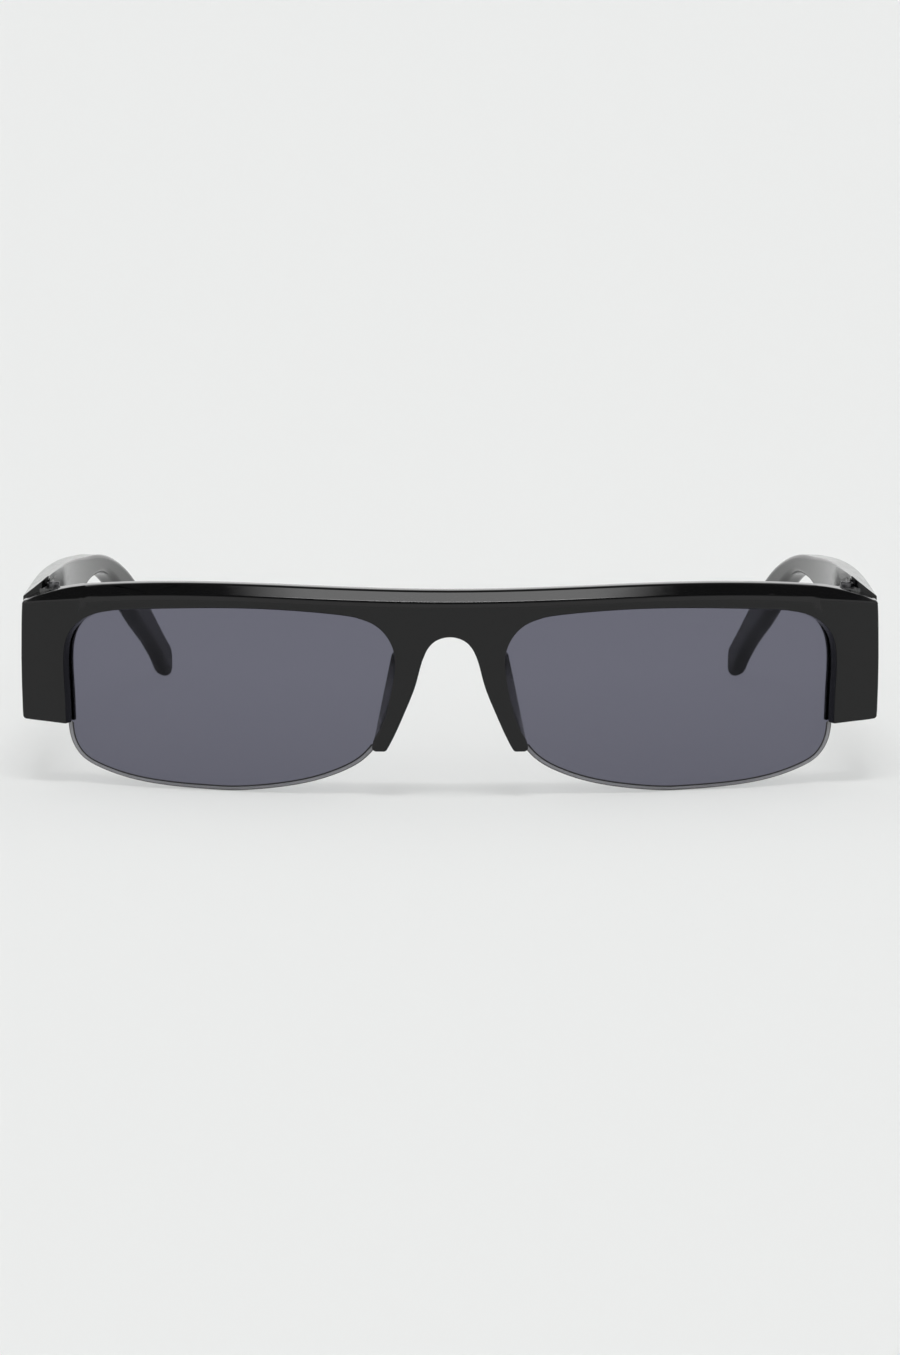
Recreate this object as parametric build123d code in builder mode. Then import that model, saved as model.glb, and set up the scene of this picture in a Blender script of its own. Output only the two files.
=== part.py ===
"""Narrow rectangle sunglasses: a half-rim front, two bare-bottomed lenses and broad temples that fold.

The glasses stand open on a flat surface: both lens bottoms and both temple tips touch it.
+Z is up, -Y is the side that faces forward when worn, and left and right are the wearer's.
The origin lies on that surface, midway between the front and the temple tips.
"""

from build123d import *
import math
import os

# Overall size
frame_width = 145.0
overall_depth = 141.0
crest_height = 35.2
face_radius = 160.0
front_thickness = 5.0

# Front
shoulder_drop = 4.35
brow_bevel = 2.1
side_bulge = 0.25
end_foot_height = 10.75
end_foot_slope = 0.4
end_width = 8.0
end_corner_round = 0.6
arch_drop = 8.2
leg_foot_height = 7.7
leg_foot_place = 10.7
leg_foot_width = 2.35
leg_foot_round = 0.7
leg_side_place = 10.5
leg_side_height = 16.5

# Lenses
lens_spacing = 16.3
lens_end_cover = 6.45
lens_top_cover = 2.95
lens_recess = 2.2
lens_thickness = 1.9
lens_facet_width = 0.8
lens_facet_depth = 0.4
rim_lap = 1.0
back_lap = 0.4
lens_clearance = 0.02
lens_edge_room = 0.15

# Temples
temple_thickness = 4.5
tip_thickness = 2.6
bend_start = 50.0
bend_radius = 242.0
joint_gap = 0.16
temple_foot_step = 0.35
joint_inner_drop = 0.7
joint_outer_drop = 4.3
arm_drop = 5.85
hook_reach = 53.0

# Hinges, with three barrels each
hinge_inset = 5.2
hinge_drop = 10.3
barrel_height = 2.5
barrel_radius = 1.45
barrel_gap = 0.05
hinge_standoff = 2.3
leaf_thickness = 1.0
leaf_clearance = 0.03
front_leaf_inner = 3.0
front_leaf_outer = 0.8
neck_width = 1.6
temple_leaf_start = 2.4
temple_leaf_length = 9.0
hinge_room = 0.35
screw_radius = 0.7
screw_clearance = 0.04
thread_clearance = 0.015
screw_head_radius = 1.1
screw_head_height = 0.9
screw_slot_width = 0.3
screw_slot_depth = 0.35

notch_depth = 1.1
notch_reach = 2.0
tip_height = 2.2
tip_drop = 1.2
tip_overshoot = 0.6
tip_round = 1.0

# Core wires inside the temples
core_width = 1.2
core_height = 1.6
core_start = 39.0
core_end_margin = 10.0
core_clearance = 0.05

# Nose pads
pad_depth = 6.2
pad_length = 17.2
pad_width = 2.3
pad_flare = 1.4
pad_place = 8.9
pad_drop = 11.8
pad_front_tilt = 20.0
pad_back_tilt = 10.5
pad_round = 0.6
pad_taper_share = 0.96

# One overrun serves every cut
overrun = 4.0

half_width = frame_width / 2
arch_height = crest_height - arch_drop
lens_width = half_width - lens_spacing / 2 - lens_end_cover
lens_height = crest_height - lens_top_cover
arm_height = crest_height - arm_drop
joint_inner_height = crest_height - joint_inner_drop
joint_outer_height = crest_height - joint_outer_drop
temple_foot_height = end_foot_height + temple_foot_step
hinge_place = half_width - hinge_inset
hinge_foot_height = crest_height - hinge_drop
pad_middle_height = arch_height - pad_drop
apex_y = -overall_depth / 2
axis_y = apex_y + face_radius
back_radius = face_radius - front_thickness
front_limit = apex_y - overrun
rear_limit = axis_y - math.sqrt(back_radius**2 - half_width**2) + overrun
lens_front_radius = face_radius - lens_recess
lens_back_radius = lens_front_radius - lens_thickness

# The top line of the front from its middle to its end: places as shares of the half width,
# drops below the crest as shares of the shoulder's drop, and the bevel's height as shares of its full height
brow_shares = [
    (0.0, 0.138, 1.0),
    (0.24, 0.08, 1.0),
    (0.5, 0.0, 1.0),
    (0.69, 0.08, 1.0),
    (0.8, 0.218, 1.0),
    (0.905, 0.494, 0.8),
    (0.945, 0.69, 0.55),
    (0.972, 0.85, 0.35),
    (0.995, 1.0, 0.2),
]

# The outline of a lens: shares of its width, from the nose outwards, and of its height
lens_shares = [
    (0.53, 0.0),
    (0.716, 0.0142),
    (0.826, 0.0445),
    (0.905, 0.0885),
    (0.952, 0.135),
    (0.986, 0.231),
    (0.9935, 0.3194),
    (0.995, 0.4186),
    (1.0, 0.605),
    (0.984, 0.815),
    (0.93, 0.917),
    (0.80, 0.971),
    (0.464, 1.0),
    (0.19, 0.98),
    (0.0535, 0.909),
    (0.0035, 0.763),
    (0.0078, 0.589),
    (0.048, 0.335),
    (0.111, 0.182),
    (0.181, 0.111),
    (0.2515, 0.0665),
    (0.3226, 0.037),
    (0.393, 0.0175),
    (0.464, 0.004),
]

# The nose side of a leg: shares of the way out to its foot, and of the arch's height above the foot
arch_shares = [
    (0.0, 1.0),
    (0.28, 0.942),
    (0.385, 0.858),
    (0.523, 0.603),
    (0.7, 0.347),
    (0.94, 0.058),
    (1.0, 0.0),
]

# The lens side of a leg's lower end: shares of the way out to its foot, and of the height above the foot
leg_side_shares = [(0.0, 1.0), (0.48, 0.455), (0.94, 0.148), (1.0, 0.0)]

# Round a temple from its arm to the tip and back, below: shares of the overall depth and of the arm's height
arm_upper_shares = [(0.676, 0.981), (0.734, 0.944), (0.787, 0.879), (0.84, 0.776)]
hook_upper_shares = [(0.89, 0.623), (0.935, 0.45), (0.975, 0.275)]
hook_lower_shares = [
    (0.955, 0.136),
    (0.9, 0.337),
    (0.84, 0.555),
    (0.785, 0.734),
    (0.735, 0.831),
    (0.69, 0.85),
]
arm_lower_shares = [(0.63, 0.8365), (0.54, 0.719), (0.43, 0.583), (0.28, 0.443)]

# The middle line of a core wire: shares of the overall depth and of the arm's height
core_shares = [
    (0.27, 0.76),
    (0.43, 0.815),
    (0.53, 0.865),
    (0.63, 0.92),
    (0.68, 0.915),
    (0.73, 0.89),
    (0.785, 0.806),
    (0.84, 0.66),
    (0.89, 0.49),
    (0.935, 0.32),
]


def upright(y):
    """The upright plane across the glasses at y, drawn on as seen from the front."""
    return Plane.XZ.offset(-y)


def sagitta(x):
    """How far the curved face lies behind its own middle at x."""
    return face_radius - math.sqrt(face_radius**2 - x**2)


def spread(x, y):
    """Where the line square to the face at x meets the upright plane at y."""
    return (axis_y - y) * x / math.sqrt(face_radius**2 - x**2)


def lens_column(growth):
    """A column with the left lens outline, grown by this much, and walls square to the curved face."""
    with BuildPart() as column:
        for y in (front_limit, rear_limit):
            places = [lens_spacing / 2 + across * lens_width for across, _ in lens_shares]
            heights = [up * lens_height for _, up in lens_shares]
            with BuildSketch(upright(y)):
                with BuildLine():
                    Spline([(spread(x, y), z) for x, z in zip(places, heights)], periodic=True)
                make_face()
                if growth:
                    offset(amount=growth, mode=Mode.REPLACE)
        loft(ruled=True)
    return column.part


def shell(outer, inner):
    """An upright ring about the axis of the front's plan curve."""
    with BuildPart() as ring:
        with BuildSketch(Plane.XY.offset(-overrun)):
            with Locations((0, axis_y)):
                Circle(outer)
                Circle(inner, mode=Mode.SUBTRACT)
        extrude(amount=crest_height + 2 * overrun)
    return ring.part


def finish(part, name):
    """Labels a finished piece and writes it out."""
    part.label = name
    export_step(part, "parts/" + name + ".step")


def finish_pair(part, name):
    """Writes a left piece and its mirror image on the right."""
    finish(part, name + "_left")
    with BuildPart() as twin:
        mirror(part, about=Plane.YZ)
    finish(twin.part, name + "_right")


os.makedirs("parts", exist_ok=True)

# The hinge stands square to the back of the front, this far round its plan curve
hinge_radius = back_radius - hinge_standoff
hinge_angle = math.degrees(math.asin(hinge_place / hinge_radius))
hinge_y = axis_y - math.sqrt(hinge_radius**2 - hinge_place**2)
barrel_pitch = barrel_height + barrel_gap
barrel_feet = [hinge_foot_height + n * barrel_pitch for n in range(3)]
hinge_top = barrel_feet[2] + barrel_height
hinge_height = hinge_top - hinge_foot_height
temple_inner = half_width - temple_thickness


def hinge_plane(height):
    """A level plane at the hinge's axis, with its x along the front and its y away from it."""
    return Plane(origin=(hinge_place, hinge_y, height)).rotated((0, 0, hinge_angle))


def upright_box(x_range, y_range, z_range):
    """A block between two corners of the glasses' own frame."""
    sizes = [high - low for low, high in (x_range, y_range, z_range)]
    with BuildPart(Plane.XY.offset(z_range[0])) as block:
        with Locations((sum(x_range) / 2, sum(y_range) / 2)):
            Box(*sizes, align=(Align.CENTER, Align.CENTER, Align.MIN))
    return block.part


def turned_box(x_range, y_range, z_range):
    """A block laid out on the hinge's own plane."""
    with BuildPart() as block:
        with BuildSketch(hinge_plane(z_range[0])):
            with Locations((sum(x_range) / 2, sum(y_range) / 2)):
                Rectangle(x_range[1] - x_range[0], y_range[1] - y_range[0])
        extrude(amount=z_range[1] - z_range[0])
    return block.part


def front_leaf_plate(room, proud):
    """The front leaf's plate, grown by this much at its edges and floor and by this much at its open side."""
    return turned_box(
        (-front_leaf_inner - room, front_leaf_outer + room),
        (-hinge_standoff - leaf_thickness - room, proud - hinge_standoff),
        (hinge_foot_height - room, hinge_top + room),
    )


def temple_leaf_plate(room, proud):
    """The temple leaf's plate and its neck to the middle barrel, grown in the same two ways."""
    start = hinge_y + temple_leaf_start
    with BuildPart() as plate:
        add(
            upright_box(
                (temple_inner - proud, temple_inner + leaf_thickness + room),
                (start - room, start + temple_leaf_length + room),
                (hinge_foot_height - room, hinge_top + room),
            )
        )
        add(
            upright_box(
                (temple_inner - neck_width / 2, temple_inner + leaf_thickness + room),
                (hinge_y, start + neck_width),
                (barrel_feet[1] - room, barrel_feet[1] + barrel_height + room),
            )
        )
    return plate.part


# Lens: a bent pane with a polished facet round its front edge
lens_pane = shell(lens_front_radius, lens_back_radius)
with BuildPart() as lens:
    add(lens_column(0))
    add(lens_pane, mode=Mode.INTERSECT)
    front_rim = lens.faces().filter_by(GeomType.CYLINDER).sort_by(Axis.Y)[0].outer_wire().edges()
    chamfer(front_rim, length=lens_facet_depth, length2=lens_facet_width)
finish_pair(lens.part, "lens")

# Front: one curved bar with two end pieces and the two short legs beside the nose
shoulder_height = crest_height - shoulder_drop
brow = [
    (side * across * half_width, crest_height - drop * shoulder_drop, bevel * brow_bevel)
    for side, shares in ((-1, brow_shares[:0:-1]), (1, brow_shares))
    for across, drop, bevel in shares
]
arch = [
    (side * out * leg_foot_place, leg_foot_height + up * (arch_height - leg_foot_height))
    for side, shares in ((-1, arch_shares[:0:-1]), (1, arch_shares))
    for out, up in shares
]
leg_side_run = leg_foot_place + leg_foot_width - leg_side_place
leg_side_rise = leg_side_height - leg_foot_height
leg_side = [
    (leg_side_place + out * leg_side_run, leg_foot_height + up * leg_side_rise) for out, up in leg_side_shares
]
side_place = half_width - side_bulge
side_middle_height = (shoulder_height + end_foot_height) / 2
brow_reach = half_width + overrun
with BuildPart() as front_frame:
    with BuildSketch(upright(rear_limit)) as outline:
        with BuildLine():
            shoulders = [(-side_place, shoulder_height), (side_place, shoulder_height)]
            Spline(shoulders[:1] + [(x, z) for x, z, _ in brow] + shoulders[1:])
            Spline(arch)
            for side in (-1, 1):
                side_foot = (side * side_place, end_foot_height)
                end_corner = (side * (half_width - end_width), end_foot_height - end_foot_slope)
                inside_end = (side * (half_width - end_width - rim_lap), end_foot_height - end_foot_slope)
                side_top = (side * side_place, shoulder_height)
                ThreePointArc(side_top, (side * half_width, side_middle_height), side_foot)
                leg_curve = Spline([(side * x, z) for x, z in leg_side])
                Polyline(side_foot, end_corner, inside_end, leg_curve @ 0)
                Line(leg_curve @ 1, (side * leg_foot_place, leg_foot_height))
        make_face()
        end_corners = outline.vertices().group_by(Axis.X)
        fillet(end_corners[0] + end_corners[-1], end_corner_round)
        fillet(outline.vertices().group_by(Axis.Y)[0], leg_foot_round)
    extrude(amount=rear_limit - front_limit)
    add(shell(face_radius, back_radius), mode=Mode.INTERSECT)
    with BuildSketch(upright(apex_y)):
        with BuildLine():
            Spline([(x, z - bevel - sagitta(x)) for x, z, bevel in brow])
            ends = [(x, z - bevel - sagitta(x)) for x, z, bevel in (brow[0], brow[-1])]
            Polyline(
                ends[0],
                (-brow_reach, ends[0][1]),
                (-brow_reach, crest_height + overrun),
                (brow_reach, crest_height + overrun),
                (brow_reach, ends[1][1]),
                ends[1],
            )
        make_face()
    extrude(amount=2 * (rear_limit - apex_y), dir=(0, 1, 1), mode=Mode.SUBTRACT)
    opening = lens_column(-rim_lap) & shell(face_radius + overrun, lens_back_radius)
    groove = lens_column(lens_edge_room) & shell(
        lens_front_radius + lens_clearance, lens_back_radius - lens_clearance
    )
    leaf_room = front_leaf_plate(leaf_clearance, hinge_standoff)
    rear_opening = lens_column(-back_lap) & shell(lens_front_radius, overrun)
    for cut in (opening, groove, rear_opening, leaf_room):
        add(cut, mode=Mode.SUBTRACT)
        add(cut.mirror(Plane.YZ), mode=Mode.SUBTRACT)
finish(front_frame.part, "front_frame")

# Nose pad: a rounded block on the back of the leg that flares outwards
pad_start = apex_y + front_thickness - pad_round
pad_end = apex_y + front_thickness + pad_depth
with BuildPart() as nose_pad:
    for y, place, tilt, share in (
        (pad_start, pad_place, pad_front_tilt, 1),
        (pad_end, pad_place + pad_flare, pad_back_tilt, pad_taper_share),
    ):
        with BuildSketch(upright(y)):
            with Locations((place, pad_middle_height)):
                SlotOverall(share * pad_length, pad_width, rotation=tilt + 90)
    loft()
    add(shell(back_radius, overrun), mode=Mode.INTERSECT)
    fillet(nose_pad.faces().sort_by(Axis.Y)[-1].edges(), pad_round)
finish_pair(nose_pad.part, "nose_pad")

# Front hinge leaf: a plate let into the back of the end piece, and the two outer barrels
with BuildPart() as hinge_front_leaf:
    add(front_leaf_plate(0, 0))
    for foot in (barrel_feet[0], barrel_feet[2]):
        with BuildSketch(hinge_plane(foot)):
            Circle(barrel_radius)
            with Locations((0, -(hinge_standoff + leaf_thickness / 2) / 2)):
                Rectangle(neck_width, hinge_standoff + leaf_thickness / 2)
        extrude(amount=barrel_height)
    for foot, room in ((barrel_feet[0], thread_clearance), (barrel_feet[2], screw_clearance)):
        with BuildSketch(hinge_plane(foot)):
            Circle(screw_radius + room)
        extrude(amount=barrel_height, mode=Mode.SUBTRACT)
finish_pair(hinge_front_leaf.part, "hinge_front_leaf")

# Temple hinge leaf: a plate let into the inner face of the temple, and the middle barrel
with BuildPart() as hinge_temple_leaf:
    add(temple_leaf_plate(0, 0))
    with BuildSketch(hinge_plane(barrel_feet[1])):
        Circle(barrel_radius)
    extrude(amount=barrel_height)
    with BuildSketch(hinge_plane(barrel_feet[1])):
        Circle(screw_radius + screw_clearance)
    extrude(amount=barrel_height, mode=Mode.SUBTRACT)
finish_pair(hinge_temple_leaf.part, "hinge_temple_leaf")

# Hinge screw: a slotted, domed head on a plain shank
with BuildPart() as hinge_screw:
    with BuildSketch(hinge_plane(hinge_foot_height)):
        Circle(screw_radius)
    extrude(amount=hinge_height)
    with BuildSketch(hinge_plane(hinge_top)):
        Circle(screw_head_radius)
    extrude(amount=screw_head_height)
    fillet(hinge_screw.faces().sort_by(Axis.Z)[-1].edges(), screw_head_height / 2)
    with BuildSketch(hinge_plane(hinge_top + screw_head_height - screw_slot_depth)):
        Rectangle(3 * screw_head_radius, screw_slot_width)
    extrude(amount=screw_head_height, mode=Mode.SUBTRACT)
finish_pair(hinge_screw.part, "hinge_screw")

# Temple: its plan and its side view meet, then the top is cut to a surface that twists level
bend_y = apex_y + bend_start
tip_y = apex_y + overall_depth
plan_end = tip_y + tip_overshoot
plan_outer = half_width - bend_radius + math.sqrt(bend_radius**2 - (plan_end - bend_y) ** 2)
arm_y = tip_y - hook_reach
joint_limit = hinge_y - 2 * overrun


def top_height(y, across):
    """The height of the temple's top at y, from the inner face at 0 to the outer face at 1."""
    along = (y - hinge_y) / (arm_y - hinge_y)
    joint_height = joint_inner_height + across * (joint_outer_height - joint_inner_height)
    return joint_height + along * (arm_height - joint_height)


def plan_line(place, end_place):
    """A line in plan, drawn from behind the tip forwards: round the bend, then straight to the joint."""
    run = plan_end - bend_y
    radius = (run**2 + (place - end_place) ** 2) / (2 * (place - end_place))
    middle_place = place - radius + math.sqrt(radius**2 - (run / 2) ** 2)
    ThreePointArc((end_place, plan_end), (middle_place, bend_y + run / 2), (place, bend_y))
    Line((place, bend_y), (place, joint_limit))


def side_points(shares):
    """Points of the side view from their shares of the depth and of the arm's height."""
    return [(apex_y + along * overall_depth, up * arm_height) for along, up in shares]


# The hook's back leaves the arm in line with the points on both sides of it
before, after = side_points([arm_upper_shares[-2], hook_upper_shares[0]])
hook_slope = (after[0] - before[0], after[1] - before[1])

with BuildPart() as top_cut:
    for y in (joint_limit, arm_y):
        low, high = temple_inner - overrun, half_width + overrun
        heights = [top_height(y, (x - temple_inner) / temple_thickness) for x in (low, high)]
        with BuildSketch(upright(y)):
            with BuildLine():
                Polyline(
                    (low, heights[0]),
                    (high, heights[1]),
                    (high, crest_height + overrun),
                    (low, crest_height + overrun),
                    close=True,
                )
            make_face()
    loft(ruled=True)


def core_strip(room):
    """The temple's core wire, grown by this much."""
    wire_y = (apex_y + core_start - room, tip_y - core_end_margin + room)
    with BuildPart() as body:
        with BuildSketch(Plane.XY):
            with BuildLine():
                plan_line(half_width - temple_thickness / 2, plan_outer - tip_thickness / 2)
            trace(line_width=core_width + 2 * room)
        extrude(amount=crest_height)
        with BuildSketch(Plane.YZ.offset(half_width)):
            with BuildLine():
                Spline(side_points(core_shares))
            trace(line_width=core_height + 2 * room)
        extrude(amount=-half_width, mode=Mode.INTERSECT)
        add(upright_box((0, half_width), wire_y, (0, crest_height)), mode=Mode.INTERSECT)
    return body.part


with BuildPart() as temple:
    with BuildSketch(Plane.XY) as plan:
        with BuildLine():
            plan_line(half_width, plan_outer)
            plan_line(temple_inner, plan_outer - tip_thickness)
            Line((half_width, joint_limit), (temple_inner, joint_limit))
            Line((plan_outer, plan_end), (plan_outer - tip_thickness, plan_end))
        make_face()
        fillet(plan.vertices().group_by(Axis.Y)[-1], tip_round)
    extrude(amount=crest_height + overrun)
    with BuildSketch(Plane.YZ.offset(half_width + overrun)):
        with BuildLine():
            start_height = top_height(joint_limit, 0) + overrun
            top = Line((joint_limit, start_height), (arm_y, arm_height))
            arm_back = Spline([top @ 1] + side_points(arm_upper_shares), tangents=[top % 1, hook_slope])
            hook_back = Spline(
                [arm_back @ 1] + side_points(hook_upper_shares) + [(tip_y, tip_height)],
                tangents=[hook_slope, (0, -1)],
            )
            tip = Spline([hook_back @ 1, (tip_y - tip_drop, 0)], tangents=[(0, -1), (-1, 0)])
            hook_under = Spline([tip @ 1] + side_points(hook_lower_shares), tangents=[(-1, 0), (-1, 0)])
            Spline(
                [hook_under @ 1] + side_points(arm_lower_shares) + [(joint_limit, temple_foot_height)],
                tangents=[(-1, 0), (-1, 0)],
            )
            Line((joint_limit, temple_foot_height), top @ 0)
        make_face()
    extrude(amount=-half_width, mode=Mode.INTERSECT)
    add(top_cut.part, mode=Mode.SUBTRACT)
    add(shell(back_radius - joint_gap, overrun), mode=Mode.INTERSECT)
    add(
        upright_box(
            (temple_inner - overrun, temple_inner + notch_depth),
            (joint_limit, hinge_y + notch_reach),
            (hinge_foot_height - hinge_room, hinge_top + screw_head_height + hinge_room),
        ),
        mode=Mode.SUBTRACT,
    )
    add(temple_leaf_plate(leaf_clearance, leaf_thickness), mode=Mode.SUBTRACT)
    add(core_strip(core_clearance), mode=Mode.SUBTRACT)
finish_pair(temple.part, "temple")

# Core wire: a flat wire along the middle of the temple
finish_pair(core_strip(0), "core_wire")
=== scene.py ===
"""Looks for the narrow rectangle sunglasses: black plastic, grey lenses, a pale table and studio light."""

import math
from typing import NamedTuple

import bmesh
import bpy
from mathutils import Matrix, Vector


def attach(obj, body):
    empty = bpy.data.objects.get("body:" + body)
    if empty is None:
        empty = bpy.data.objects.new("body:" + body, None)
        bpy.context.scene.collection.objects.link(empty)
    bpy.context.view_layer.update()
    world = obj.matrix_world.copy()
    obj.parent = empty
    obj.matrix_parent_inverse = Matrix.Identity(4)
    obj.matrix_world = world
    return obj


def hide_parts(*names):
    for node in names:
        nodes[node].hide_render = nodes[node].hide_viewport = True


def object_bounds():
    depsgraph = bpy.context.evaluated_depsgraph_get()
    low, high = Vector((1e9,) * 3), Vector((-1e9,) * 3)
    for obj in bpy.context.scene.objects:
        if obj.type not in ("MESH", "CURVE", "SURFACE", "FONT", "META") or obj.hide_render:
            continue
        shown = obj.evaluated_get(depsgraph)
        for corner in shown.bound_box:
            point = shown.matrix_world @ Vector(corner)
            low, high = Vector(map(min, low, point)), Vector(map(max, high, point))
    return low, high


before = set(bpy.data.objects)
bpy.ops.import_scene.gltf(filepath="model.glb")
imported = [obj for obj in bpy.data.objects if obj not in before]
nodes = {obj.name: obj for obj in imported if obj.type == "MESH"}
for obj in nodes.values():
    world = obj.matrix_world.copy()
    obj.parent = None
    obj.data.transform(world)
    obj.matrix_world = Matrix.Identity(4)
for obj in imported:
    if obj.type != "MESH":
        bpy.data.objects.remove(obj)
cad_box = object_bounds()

MM = 0.001

# Camera, as worked out from the photograph: in front of the apex of the front and looking down on it
CAMERA_DISTANCE = 1.0
CAMERA_PITCH = math.radians(8.4)
LOOK_HEIGHT = 20.29 * MM
FILM_LONG_SIDE = 36.0
FOCAL_LENGTH = 161.5
NEAREST_SEEN = 10 * MM

# Curved edges made finer
SHORT_EDGE = 0.5 * MM
STRAIGHT_ANGLE = math.radians(2)
CURVE_PASSES = 2
SPOT_DIGITS = 7

# Rounded edges
MERGE_GAP = 0.004 * MM
EDGE_ROUND = 0.2 * MM
EDGE_SEGMENTS = 4
EDGE_ANGLE = math.radians(28)
SMOOTH_ANGLE = math.radians(40)
WIDE_SEGMENTS = 6


class LongEdge(NamedTuple):
    """A long edge of the front: how far below its top and behind its face it lies, and its rounding."""

    below: tuple
    behind: tuple
    rounding: float


# Long edges of the front, which end short of the hinges
BACK_EDGE = LongEdge(below=(-1 * MM, 2.2 * MM), behind=(4.6 * MM, 9 * MM), rounding=0.7 * MM)
BEVEL_FOOT = LongEdge(below=(1.9 * MM, 5.2 * MM), behind=(-3 * MM, 0.5 * MM), rounding=0.6 * MM)
BEVEL_TOP = LongEdge(below=(-1 * MM, 2.2 * MM), behind=(0.6 * MM, 3.2 * MM), rounding=0.5 * MM)
LONG_EDGE_END = 62 * MM

# Temples, with cross sections from the end of the hinge part to the tip, and edges rounded more and more
HINGE_END = -35.5 * MM
STATION_STEP = 2 * MM
SMOOTHING_WEIGHTS = (1, 2, 3, 2, 1)
SIDEWAYS_WEIGHT = 3
CORNER_REACH = 1.3 * EDGE_ROUND
WIDENING = 105 * MM
TEMPLE_ROUND = 1.5 * MM
FULLEST_ROUND = 0.98
TIP_ROUND = 1.7 * MM
TIP_ANGLES = (10, 20, 30, 40, 50, 60, 70, 80, 86)

# Lenses, and the chamfer ground along the part of their rim that is bare
FACE_RADIUS = 160 * MM
LENS_RECESS = 2.2 * MM
LENS_DEPTH = 1.9 * MM
LENS_STRIPS = 24
BARE_BELOW_OUTSIDE = 10.6 * MM
BARE_BELOW_INSIDE = 8.2 * MM
LENS_MIDDLE = 40 * MM
CHAMFER_WIDTH = 0.85 * MM
# Widths of the two near black bands of painted shade that border the chamfer, for the dark edges that
# refraction gives it
INNER_SHADE_LINE = 0.16 * MM
OUTER_SHADE_LINE = 0.32 * MM
GLASS_FACE, GROUND_FACE, SHADE_LINE_FACE = range(3)

# Tint of the lenses, with painted shade that darkens it towards their lower edge and thins out upwards,
# for the shaded table seen through them
UPPER_TINT = (0.171, 0.17, 0.216, 1)
SHADED_LOWER_TINT = (0.151, 0.15, 0.191, 1)
SHADE_FADE = (2 * MM, 20 * MM)

# Table and backdrop
TABLE_COLOUR = (0.837, 0.844, 0.838, 1)
TABLE_REACH = 14.0
BACKDROP_COLOUR = (0.8, 0.813, 0.805, 1)
BACKDROP_SHARE = 0.46

# Light of the room, placed by its direction from the glasses: 1 is straight up, sideways or ahead
CEILING_LIGHT = 0.09
CEILING_FADE = (0.62, 0.8)
HORIZON_FADE = (0.0, 0.1)
BOX_SIDE_FADE = (0.15, 0.31)
BOX_LIGHT = 4.15
BOX_AHEAD = 0.12
BOX_END_FADE = (0.1, 0.17)
STRIP_LIGHT = 27.0
STRIP_AHEAD = 0.265
STRIP_END_FADE = (0.015, 0.025)

# Lamp straight overhead
OVERHEAD_LIGHT = 0.49
OVERHEAD_WIDTH = math.radians(60)

BLACK = (0.0022, 0.0022, 0.0024, 1)
WHITE = (1, 1, 1, 1)
PLASTIC_IOR = 1.45
NOISE_RANGE = (0.3, 0.7)

# Outputs of the coordinate and light path nodes
DIRECTION, OBJECT_PLACE = 0, 3
CAMERA_RAY, GLOSSY_RAY, TRANSMISSION_RAY = 0, 3, 6

# The foremost place of the front, and the highest of the whole
APEX = cad_box[0][1]
TOP = cad_box[1][2]


class Value:
    """A shader socket that can be used in sums."""

    def __init__(self, graph, socket):
        self.graph = graph
        self.socket = socket

    def _with(self, operation, other):
        return self.graph.node("ShaderNodeMath", {"operation": operation}, {0: self, 1: other})[0]

    def __add__(self, other):
        return self._with("ADD", other)

    def __mul__(self, other):
        return self._with("MULTIPLY", other)

    __radd__ = __add__
    __rmul__ = __mul__

    def size(self):
        """The value without its sign."""
        return self.graph.node("ShaderNodeMath", {"operation": "ABSOLUTE"}, {0: self})[0]


class Graph:
    """A node tree, and the means to add nodes to it."""

    def __init__(self, tree):
        self.tree = tree

    def feed(self, socket, value):
        """Links a value to a socket, or sets a constant on it."""
        if isinstance(value, Value):
            self.tree.links.new(value.socket, socket)
        else:
            socket.default_value = value

    def node(self, kind, settings=None, sockets=None):
        """Adds a node, and returns its outputs as values."""
        new = self.tree.nodes.new(kind)
        for name, value in (settings or {}).items():
            setattr(new, name, value)
        for name, value in (sockets or {}).items():
            self.feed(new.inputs[name], value)
        return [Value(self, output) for output in new.outputs]

    def remap(self, value, span, low, high, kind="LINEAR"):
        """A value that crosses a span carried to low to high."""
        sockets = {"Value": value, "From Min": span[0], "From Max": span[1], "To Min": low, "To Max": high}
        return self.node("ShaderNodeMapRange", {"interpolation_type": kind}, sockets)[0]

    def fade(self, value, span, near, far):
        """Light that is even up to a span and fades softly across it."""
        return self.remap(value, span, near, far, "SMOOTHSTEP")

    def parts(self, vector):
        """The x, y and z of a vector."""
        return self.node("ShaderNodeSeparateXYZ", None, {0: vector})


class Finish(Graph):
    """A new material with one principled shader."""

    def __init__(self, name, **sockets):
        self.material = bpy.data.materials.new(name)
        self.material.use_nodes = True
        super().__init__(self.material.node_tree)
        self.shader = self.tree.nodes["Principled BSDF"]
        self.set(**sockets)

    def set(self, **sockets):
        """Sets or links the shader's sockets, named with underscores for spaces."""
        for name, value in sockets.items():
            self.feed(self.shader.inputs[name.replace("_", " ")], value)

    def place(self, scale=(1, 1, 1)):
        """Object coordinates, stretched by this scale."""
        spot = self.node("ShaderNodeTexCoord")[OBJECT_PLACE]
        return self.node("ShaderNodeMapping", None, {"Vector": spot, "Scale": scale})[0]

    def noise(self, scale, detail, stretch=(1, 1, 1)):
        """Soft noise at this many features to the metre."""
        sockets = {"Vector": self.place(stretch), "Scale": scale, "Detail": detail}
        return self.node("ShaderNodeTexNoise", None, sockets)[0]

    def bump(self, height, distance):
        """A surface pushed along its normal by this height."""
        return self.node("ShaderNodeBump", None, {"Height": height, "Distance": distance})[0]

    def blend(self, share, first, second):
        """A colour between two."""
        return self.node("ShaderNodeMix", {"data_type": "RGBA"}, {0: share, 6: first, 7: second})[2]


def lighter(colour, times):
    """A colour with this many times the light."""
    return [share * times for share in colour[:3]] + [1]


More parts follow.
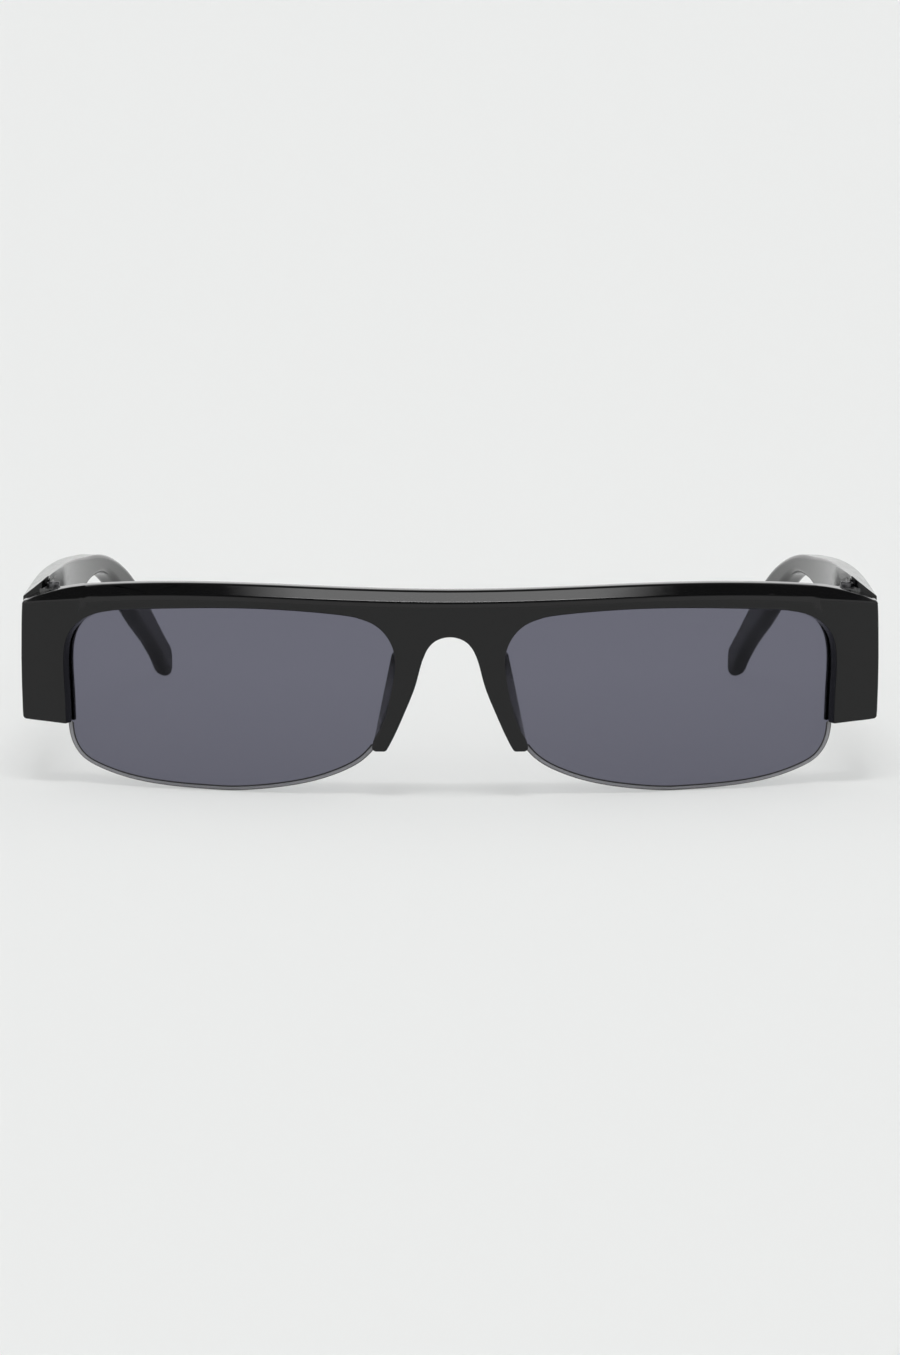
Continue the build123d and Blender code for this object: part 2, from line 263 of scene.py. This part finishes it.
def polished_black(name, roughness, wave):
    """Polished black plastic with a faint waviness and fine wiping marks."""
    finish = Finish(name, IOR=PLASTIC_IOR, Specular_IOR_Level=0.42)
    wipe = finish.noise(scale=900.0, detail=4.0, stretch=(1, 0.25, 1))
    ripple = finish.noise(scale=130.0, detail=1.0)
    finish.set(Base_Color=finish.blend(ripple, BLACK, lighter(BLACK, 1.25)))
    finish.set(Roughness=finish.remap(wipe, NOISE_RANGE, roughness * 0.75, roughness * 1.3))
    finish.set(Normal=finish.bump(ripple, wave))
    return finish.material


def tinted_lens(name):
    """Grey sun lens, clear to look through, with a trace of painted shade that darkens it towards its
    lower edge.
    """
    finish = Finish(name, Roughness=0.0, IOR=1.01, Transmission_Weight=1.0)
    finish.set(Coat_Weight=0.22, Coat_Roughness=0.0)
    height = finish.parts(finish.place())[2]
    # Painted shade: the tint darkens towards the lower edge, where the shaded table shows through
    painted_shade = finish.remap(height, SHADE_FADE, 1.0, 0.0)
    finish.set(Base_Color=finish.blend(painted_shade, UPPER_TINT, SHADED_LOWER_TINT))
    return finish.material


def ground_edge(name, colour):
    """Finely ground lens edge, with its scratches along the edge, also used in near black for the painted
    shade that borders the chamfer.
    """
    finish = Finish(name, IOR=PLASTIC_IOR)
    scratch = finish.noise(scale=700.0, detail=3.0, stretch=(0.2, 0.2, 1))
    finish.set(Base_Color=finish.blend(scratch, colour, lighter(colour, 1.3)))
    finish.set(Roughness=finish.remap(scratch, NOISE_RANGE, 0.3, 0.45))
    return finish.material


def satin_metal(name, colour, roughness, grain):
    """Drawn or tumbled metal with fine lines along z."""
    finish = Finish(name, Base_Color=colour, Metallic=1.0)
    lines = finish.noise(scale=grain, detail=3.0, stretch=(1, 1, 0.05))
    finish.set(Roughness=finish.remap(lines, NOISE_RANGE, roughness * 0.7, roughness * 1.4))
    finish.set(Normal=finish.bump(lines, 0.01 * MM))
    return finish.material


def dress(piece, material):
    """Puts one material on all of a piece's slots."""
    if not piece.material_slots:
        piece.data.materials.append(material)
    for slot in piece.material_slots:
        slot.material = material


def show_mesh(shape, node, materials, body):
    """Makes a finished mesh a piece that stands for a CAD node."""
    for face in shape.faces:
        face.smooth = True
    mesh = bpy.data.meshes.new(node + "_rounded")
    shape.to_mesh(mesh)
    shape.free()
    piece = bpy.data.objects.new(node + "_rounded", mesh)
    bpy.context.scene.collection.objects.link(piece)
    mesh.set_sharp_from_angle(angle=SMOOTH_ANGLE)
    piece.modifiers.new("weighted", "WEIGHTED_NORMAL").keep_sharp = True
    for material in materials:
        mesh.materials.append(material)
    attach(piece, body)
    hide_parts(node)


def merged_copy(node):
    """A mesh of a CAD node's triangles, joined at their corners."""
    shape = bmesh.new()
    shape.from_mesh(nodes[node].data)
    bmesh.ops.remove_doubles(shape, verts=shape.verts, dist=MERGE_GAP)
    return shape


def sharp_edges(shape):
    """The edges of a mesh that turn a corner."""
    return [edge for edge in shape.edges if edge.is_manifold and edge.calc_face_angle() > EDGE_ANGLE]


def edges_where(shape, wanted):
    """The sharp edges of a mesh whose both ends are wanted."""
    return [edge for edge in sharp_edges(shape) if all(wanted(*vert.co) for vert in edge.verts)]


def soften(shape, edges, radius, segments):
    """Rounds these edges of a mesh, or chamfers them with one segment."""
    return bmesh.ops.bevel(
        shape,
        geom=edges,
        affect="EDGES",
        offset=radius,
        segments=segments,
        profile=0.5,
        material=-1,
        clamp_overlap=False,
    )


def cut_across(shape, place, direction, clear_outer=False):
    """Cuts a mesh along a plane, and returns what lies on the cut."""
    return bmesh.ops.bisect_plane(
        shape,
        geom=shape.verts[:] + shape.edges[:] + shape.faces[:],
        dist=0.0,
        plane_co=place,
        plane_no=direction,
        clear_outer=clear_outer,
    )["geom_cut"]


def only(kind, items):
    """Those of some mesh elements that are of one kind."""
    return [item for item in items if isinstance(item, kind)]


def sag(x, radius):
    """How far back a face of this radius lies at x."""
    return radius - math.sqrt(radius * radius - x * x)


def curve_middle(start, end, leaving, arriving):
    """The middle of the curve between two spots that leaves and arrives in these directions."""
    return (start + end) / 2 + (leaving - arriving) * (end - start).length / 8


def onward(edge, vert, chains):
    """The direction of a chain of sharp edges at one end of an edge, or none where it turns or stops."""
    ahead = vert.co - edge.other_vert(vert).co
    others = [other for other in chains[vert] if other is not edge]
    if len(others) != 1:
        return None
    next_step = others[0].other_vert(vert).co - vert.co
    if ahead.angle(next_step) > EDGE_ANGLE:
        return None
    return (ahead.normalized() * next_step.length + next_step.normalized() * ahead.length).normalized()


def curve_edges(shape):
    """Halves the longer sharp edges, and moves each middle out onto the curve that the chain follows."""
    sharp = sharp_edges(shape)
    chains = {}
    for edge in sharp:
        for vert in edge.verts:
            chains.setdefault(vert, []).append(edge)
    middles = {}
    for edge in sharp:
        start, end = edge.verts
        step = end.co - start.co
        back, ahead = onward(edge, start, chains), onward(edge, end, chains)
        if step.length < SHORT_EDGE or (back is None and ahead is None):
            continue
        straight = step.normalized()
        arriving = straight * 2 + back if ahead is None else ahead
        leaving = straight * 2 - arriving if back is None else -back
        if straight.angle(leaving) + straight.angle(arriving) > STRAIGHT_ANGLE:
            middles[edge] = curve_middle(start.co, end.co, leaving, arriving)
    spots = {}
    for edge, middle in middles.items():
        ends = zip(*(vert.co for vert in edge.verts))
        spots[tuple(round(first + second, SPOT_DIGITS) for first, second in ends)] = middle
    split = bmesh.ops.subdivide_edges(shape, edges=list(middles), cuts=1)["geom_inner"]
    for vert in only(bmesh.types.BMVert, split):
        doubled = tuple(round(value * 2, SPOT_DIGITS) for value in vert.co)
        if doubled in spots:
            vert.co = spots[doubled]


def long_edges(shape, place):
    """The sharp edges of the front that lie at a long edge's place."""

    def wanted(x, y, z):
        if abs(x) >= LONG_EDGE_END:
            return False
        behind = y - APEX - sag(x, FACE_RADIUS)
        return place.below[0] < TOP - z < place.below[1] and place.behind[0] < behind < place.behind[1]

    return edges_where(shape, wanted)


def rounded_front(material):
    """The front with its edges rounded, the long ones more widely."""
    shape = merged_copy("front_frame")
    for _ in range(CURVE_PASSES):
        curve_edges(shape)
    for place in (BACK_EDGE, BEVEL_FOOT, BEVEL_TOP):
        soften(shape, long_edges(shape, place), place.rounding, WIDE_SEGMENTS)
    soften(shape, sharp_edges(shape), EDGE_ROUND, EDGE_SEGMENTS)
    show_mesh(shape, "front_frame", [material], "front")


def outer_shell(shape):
    """The vertices of a mesh that are joined to its rearmost one, which leaves out a hollow inside."""
    reached = {max(shape.verts, key=lambda vert: vert.co.y)}
    latest = list(reached)
    while latest:
        joined = {edge.other_vert(vert) for vert in latest for edge in vert.link_edges}
        latest = list(joined - reached)
        reached |= joined
    return reached


def solid_temple(node):
    """The mesh of a temple without the hollow for its core wire."""
    solid = merged_copy(node)
    outside = outer_shell(solid)
    hollow = [vert for vert in solid.verts if vert not in outside]
    bmesh.ops.delete(solid, geom=hollow, context="VERTS")
    return solid


def temple_stations(end):
    """Where along its length a temple gets a cross section, closer together around its tip."""
    last = end - TIP_ROUND
    count = round((last - HINGE_END) / STATION_STEP)
    even = [HINGE_END + (last - HINGE_END) * index / count for index in range(count + 1)]
    return even + [end - TIP_ROUND * (1 - math.sin(math.radians(angle))) for angle in TIP_ANGLES]


def section(solid, y):
    """The four corners of a temple's section at y, as x and z, by side and by bottom or top."""
    cut = solid.copy()
    found = only(bmesh.types.BMVert, cut_across(cut, (0, y, 0), (0, 1, 0)))
    spots = [(vert.co.x, vert.co.z) for vert in found]
    cut.free()
    corners = {}
    for across in (-1, 1):
        low = max(spots, key=lambda spot: SIDEWAYS_WEIGHT * across * spot[0] - spot[1])
        high = max(spots, key=lambda spot: SIDEWAYS_WEIGHT * across * spot[0] + spot[1])
        corners[across, -1] = low
        corners[across, 1] = (low[0], high[1])
    return corners


def weighted_mean(values):
    """The mean of some values, of which the middle ones count for more."""
    return sum(weight * value for weight, value in zip(SMOOTHING_WEIGHTS, values)) / sum(SMOOTHING_WEIGHTS)


def evened(cuts, count):
    """Cross sections of which the first ones are evened out along the length, but for their ends."""
    reach = len(SMOOTHING_WEIGHTS) // 2
    result = list(cuts)
    for index in range(reach, count - reach):
        near = cuts[index - reach:index + reach + 1]
        result[index] = {
            corner: tuple(weighted_mean([cut[corner][axis] for cut in near]) for axis in (0, 1))
            for corner in cuts[index]
        }
    return result


def lean(corners, across, up):
    """How much a section's bottom or top rises along x."""
    (near_x, near_z), (far_x, far_z) = corners[across, up], corners[-across, up]
    return (far_z - near_z) / (far_x - near_x)


def hinge_part(solid):
    """The hinge end of a temple with its edges rounded, left open where it is cut off."""
    shape = solid.copy()
    soften(shape, sharp_edges(shape), EDGE_ROUND, EDGE_SEGMENTS)
    cut_across(shape, (0, HINGE_END, 0), (0, 1, 0), clear_outer=True)
    return shape


def open_edges(shape):
    """The edges of a mesh round its opening."""
    return [edge for edge in shape.edges if edge.is_boundary]


def corner_places(shape, corners):
    """Thins out the rim of a temple's open end to its rounded corners.

    It gives each vertex that stays its corner, and how far in and how far up or down from the corner it
    lies, as shares of the rounding.
    """
    rim = {vert for edge in open_edges(shape) for vert in edge.verts}
    places = {}
    for vert in rim:
        x, _, z = vert.co
        across, up = min(corners, key=lambda name: abs(corners[name][0] - x) + abs(corners[name][1] - z))
        corner_x, corner_z = corners[across, up]
        inward = abs(corner_x - x)
        rise = abs(z - corner_z + lean(corners, across, up) * across * inward)
        if max(inward, rise) < CORNER_REACH:
            places[vert] = ((across, up), inward / EDGE_ROUND, rise / EDGE_ROUND)
    bmesh.ops.dissolve_verts(shape, verts=[vert for vert in rim if vert not in places])
    return places


def section_spot(place, corners, before, step, y, end):
    """Where a vertex at this place round a corner lies in the section at y, a step past the one before."""
    (across, up), inward, upward = place
    corner_x, corner_z = corners[across, up]
    slope = (corner_z - before[across, up][1]) / step
    radius = EDGE_ROUND + (TEMPLE_ROUND - EDGE_ROUND) * min(1.0, (y - HINGE_END) / WIDENING)
    past = max(0.0, y - end + TIP_ROUND)
    inset = TIP_ROUND - math.sqrt(TIP_ROUND * TIP_ROUND - past * past)
    half_width = (corners[1, -1][0] - corners[-1, -1][0]) / 2 - inset
    half_height = (corners[across, 1][1] - corners[across, -1][1]) / 2
    wide = inset + inward * min(radius, half_width * FULLEST_ROUND)
    tall = upward * min(radius * math.sqrt(1 + slope * slope), half_height * FULLEST_ROUND)
    return corner_x - across * wide, y, corner_z - lean(corners, across, up) * across * wide - up * tall


def rounded_temple(side, material):
    """A temple with the CAD node's hinge end, and rounded edges that widen from there to the tip."""
    node = "temple_" + side
    solid = solid_temple(node)
    end = max(vert.co.y for vert in solid.verts)
    stations = temple_stations(end)
    cuts = evened([section(solid, y) for y in stations], len(stations) - len(TIP_ANGLES))
    shape = hinge_part(solid)
    places = corner_places(shape, cuts[0])
    solid.free()
    border = open_edges(shape)
    for last_y, y, before, corners in zip(stations, stations[1:], cuts, cuts[1:]):
        grown = bmesh.ops.extrude_edge_only(shape, edges=border)["geom"]
        fresh = set(only(bmesh.types.BMVert, grown))
        border = only(bmesh.types.BMEdge, grown)
        moved = {}
        for vert, place in places.items():
            new = next(edge.other_vert(vert) for edge in vert.link_edges if edge.other_vert(vert) in fresh)
            new.co = section_spot(place, corners, before, y - last_y, y, end)
            moved[new] = place
        places = moved
    bmesh.ops.edgeloop_fill(shape, edges=border)
    bmesh.ops.recalc_face_normals(shape, faces=shape.faces)
    show_mesh(shape, node, [material], node)


def lens_outline(solid):
    """The corners of a lens around its front face, in order, as x and z."""

    def wanted(x, y, z):
        return y - APEX - sag(x, FACE_RADIUS - LENS_RECESS) < LENS_RECESS + LENS_DEPTH / 2

    links = {}
    for edge in edges_where(solid, wanted):
        for vert in edge.verts:
            links.setdefault(vert, []).append(edge.other_vert(vert))
    start = min(links, key=lambda vert: vert.co.z)
    chain = [start, links[start][0]]
    while chain[-1] is not start:
        chain.append(next(vert for vert in links[chain[-1]] if vert is not chain[-2]))
    return [Vector((vert.co.x, vert.co.z)) for vert in chain[:-1]]


def tangent(before, spot, after):
    """The direction of the curve through three spots at the middle one."""
    back, ahead = (spot - before).length, (after - spot).length
    return ((spot - before) * (ahead / back) + (after - spot) * (back / ahead)) / (back + ahead)


def finer(points):
    """A closed outline with a point added on the curve between each two."""
    result = []
    for index, point in enumerate(points):
        before = points[index - 1]
        after = points[(index + 1) % len(points)]
        beyond = points[(index + 2) % len(points)]
        leaving, arriving = tangent(before, point, after), tangent(point, after, beyond)
        result += [point, curve_middle(point, after, leaving, arriving)]
    return result


def flat_pane(outline):
    """A flat pane of this outline with its front at zero depth, and the edges of that front."""
    pane = bmesh.new()
    rim = [pane.verts.new((point.x, 0, point.y)) for point in outline]
    face = bmesh.ops.contextual_create(pane, geom=rim)["faces"][0]
    front_rim = face.edges[:]
    grown = bmesh.ops.extrude_face_region(pane, geom=[face], use_keep_orig=True)["geom"]
    bmesh.ops.translate(pane, verts=only(bmesh.types.BMVert, grown), vec=(0, LENS_DEPTH, 0))
    return pane, front_rim


def is_bare(vert):
    """Whether a corner of a lens's rim lies below the frame."""
    return vert.co.z < (BARE_BELOW_OUTSIDE if abs(vert.co.x) > LENS_MIDDLE else BARE_BELOW_INSIDE)


def grind(pane, edges):
    """Chamfers these edges of a pane, and borders the chamfer on either side with a narrow near black band
    of painted shade, for the dark edges that refraction gives the chamfer.
    """
    chamfer = soften(pane, edges, CHAMFER_WIDTH, 1)["faces"]
    for face in chamfer:
        face.material_index = GROUND_FACE
    borders = {
        edge for face in chamfer for edge in face.edges
        if any(beside.material_index == GLASS_FACE for beside in edge.link_faces)
    }
    inner = [edge for edge in borders if all(vert.co.y < CHAMFER_WIDTH / 2 for vert in edge.verts)]
    outer = [edge for edge in borders if all(vert.co.y > CHAMFER_WIDTH / 2 for vert in edge.verts)]
    # The narrow bands on either side of the chamfer get the near black finish: painted shade
    for shade_line, width in ((inner, INNER_SHADE_LINE), (outer, OUTER_SHADE_LINE)):
        for face in soften(pane, shade_line, width, 1)["faces"]:
            face.material_index = SHADE_LINE_FACE


def bend(pane, low, high):
    """Cuts a flat pane into strips from low to high x, and bends it along the curve of the front."""
    for index in range(1, LENS_STRIPS):
        cut_across(pane, (low + (high - low) * index / LENS_STRIPS, 0, 0), (1, 0, 0))
    for vert in pane.verts:
        depth = vert.co.y
        vert.co.y = APEX + LENS_RECESS + depth + sag(vert.co.x, FACE_RADIUS - LENS_RECESS - depth)


def ground_lens(side, materials):
    """A lens whose bare front edge is ground to a narrow chamfer between two dark lines of painted shade.
    """
    node = "lens_" + side
    solid = merged_copy(node)
    outline = lens_outline(solid)
    solid.free()
    for _ in range(CURVE_PASSES):
        outline = finer(outline)
    pane, front_rim = flat_pane(outline)
    grind(pane, [edge for edge in front_rim if all(is_bare(vert) for vert in edge.verts)])
    bmesh.ops.recalc_face_normals(pane, faces=pane.faces)
    bend(pane, min(point.x for point in outline), max(point.x for point in outline))
    show_mesh(pane, node, materials, "front")


def make_glasses():
    """Dresses every node, rounds the edges of the big plastic pieces and grinds those of the lenses."""
    polish = polished_black("polished_black", roughness=0.09, wave=0.008 * MM)
    satin = polished_black("pad_black", roughness=0.22, wave=0.01 * MM)
    lens = tinted_lens("grey_lens")
    ground = ground_edge("ground_edge", (0.2, 0.2, 0.215, 1))
    # Near black finish of the painted shade lines along the chamfer
    shade_line = ground_edge("chamfer_painted_shade", (0.004, 0.004, 0.005, 1))
    hinge = satin_metal("hinge_black_nickel", (0.1, 0.1, 0.1, 1), roughness=0.3, grain=2500.0)
    screw = satin_metal("screw_dark_steel", (0.12, 0.12, 0.125, 1), roughness=0.35, grain=1800.0)
    wire = satin_metal("core_silver", (0.6, 0.58, 0.54, 1), roughness=0.25, grain=2500.0)
    rounded_front(polish)
    for side in ("left", "right"):
        rounded_temple(side, polish)
        dress(nodes["nose_pad_" + side], satin)
        ground_lens(side, [lens, ground, shade_line])
        dress(nodes["hinge_front_leaf_" + side], hinge)
        dress(nodes["hinge_temple_leaf_" + side], hinge)
        dress(nodes["hinge_screw_" + side], screw)
        dress(nodes["core_wire_" + side], wire)


def make_table():
    """A pale table that runs far enough back to fill the picture."""
    shape = bmesh.new()
    bmesh.ops.create_grid(shape, x_segments=1, y_segments=1, size=TABLE_REACH)
    mesh = bpy.data.meshes.new("table")
    shape.to_mesh(mesh)
    shape.free()
    table = bpy.data.objects.new("table", mesh)
    bpy.context.scene.collection.objects.link(table)
    finish = Finish("table_paint", Base_Color=TABLE_COLOUR, Roughness=0.9, Specular_IOR_Level=0.0)
    rays = finish.node("ShaderNodeLightPath")
    backdrop = finish.node("ShaderNodeEmission", None, {"Color": BACKDROP_COLOUR})[0]
    seen = (rays[CAMERA_RAY] + rays[GLOSSY_RAY] + rays[TRANSMISSION_RAY]) * BACKDROP_SHARE
    lit = Value(finish, finish.shader.outputs[0])
    mixed = finish.node("ShaderNodeMixShader", None, {0: seen, 1: lit, 2: backdrop})[0]
    finish.feed(finish.tree.nodes["Material Output"].inputs[0], mixed)
    dress(table, finish.material)


def make_room():
    """An even pale room under a dark ceiling, with a soft box overhead and a bright strip before it."""
    world = bpy.data.worlds.new("room")
    bpy.context.scene.world = world
    world.use_nodes = True
    room = Graph(world.node_tree)
    across, along, up = room.parts(room.node("ShaderNodeTexCoord")[DIRECTION])
    walls = room.fade(up, CEILING_FADE, 1.0, CEILING_LIGHT)
    width = room.fade(across.size(), BOX_SIDE_FADE, 1.0, 0.0)
    box = room.fade((along + BOX_AHEAD).size(), BOX_END_FADE, BOX_LIGHT, 0.0)
    strip = room.fade((along + STRIP_AHEAD).size(), STRIP_END_FADE, STRIP_LIGHT, 0.0)
    overhead = width * (box + strip) * room.remap(up, HORIZON_FADE, 0.0, 1.0)
    sky = world.node_tree.nodes["Background"]
    sky.inputs["Color"].default_value = WHITE
    room.feed(sky.inputs["Strength"], walls + overhead)


def make_lamp():
    """A wide soft lamp straight overhead, which lights the table and leaves the polish to the room."""
    lamp = bpy.data.lights.new("overhead", "SUN")
    lamp.energy = OVERHEAD_LIGHT
    lamp.angle = OVERHEAD_WIDTH
    holder = bpy.data.objects.new("overhead", lamp)
    holder.visible_glossy = False
    bpy.context.scene.collection.objects.link(holder)


def make_camera():
    """The camera at the photograph's place and angle."""
    lens = bpy.data.cameras.new("camera")
    lens.sensor_fit = "VERTICAL"
    lens.sensor_height = FILM_LONG_SIDE
    lens.lens = FOCAL_LENGTH
    lens.clip_start = NEAREST_SEEN
    camera = bpy.data.objects.new("camera", lens)
    rise = CAMERA_DISTANCE * math.tan(CAMERA_PITCH)
    camera.location = (0, APEX - CAMERA_DISTANCE, LOOK_HEIGHT + rise)
    camera.rotation_euler = (math.pi / 2 - CAMERA_PITCH, 0, 0)
    bpy.context.scene.collection.objects.link(camera)
    bpy.context.scene.camera = camera


bpy.context.scene.view_settings.view_transform = "Standard"
make_glasses()
make_table()
make_room()
make_lamp()
make_camera()
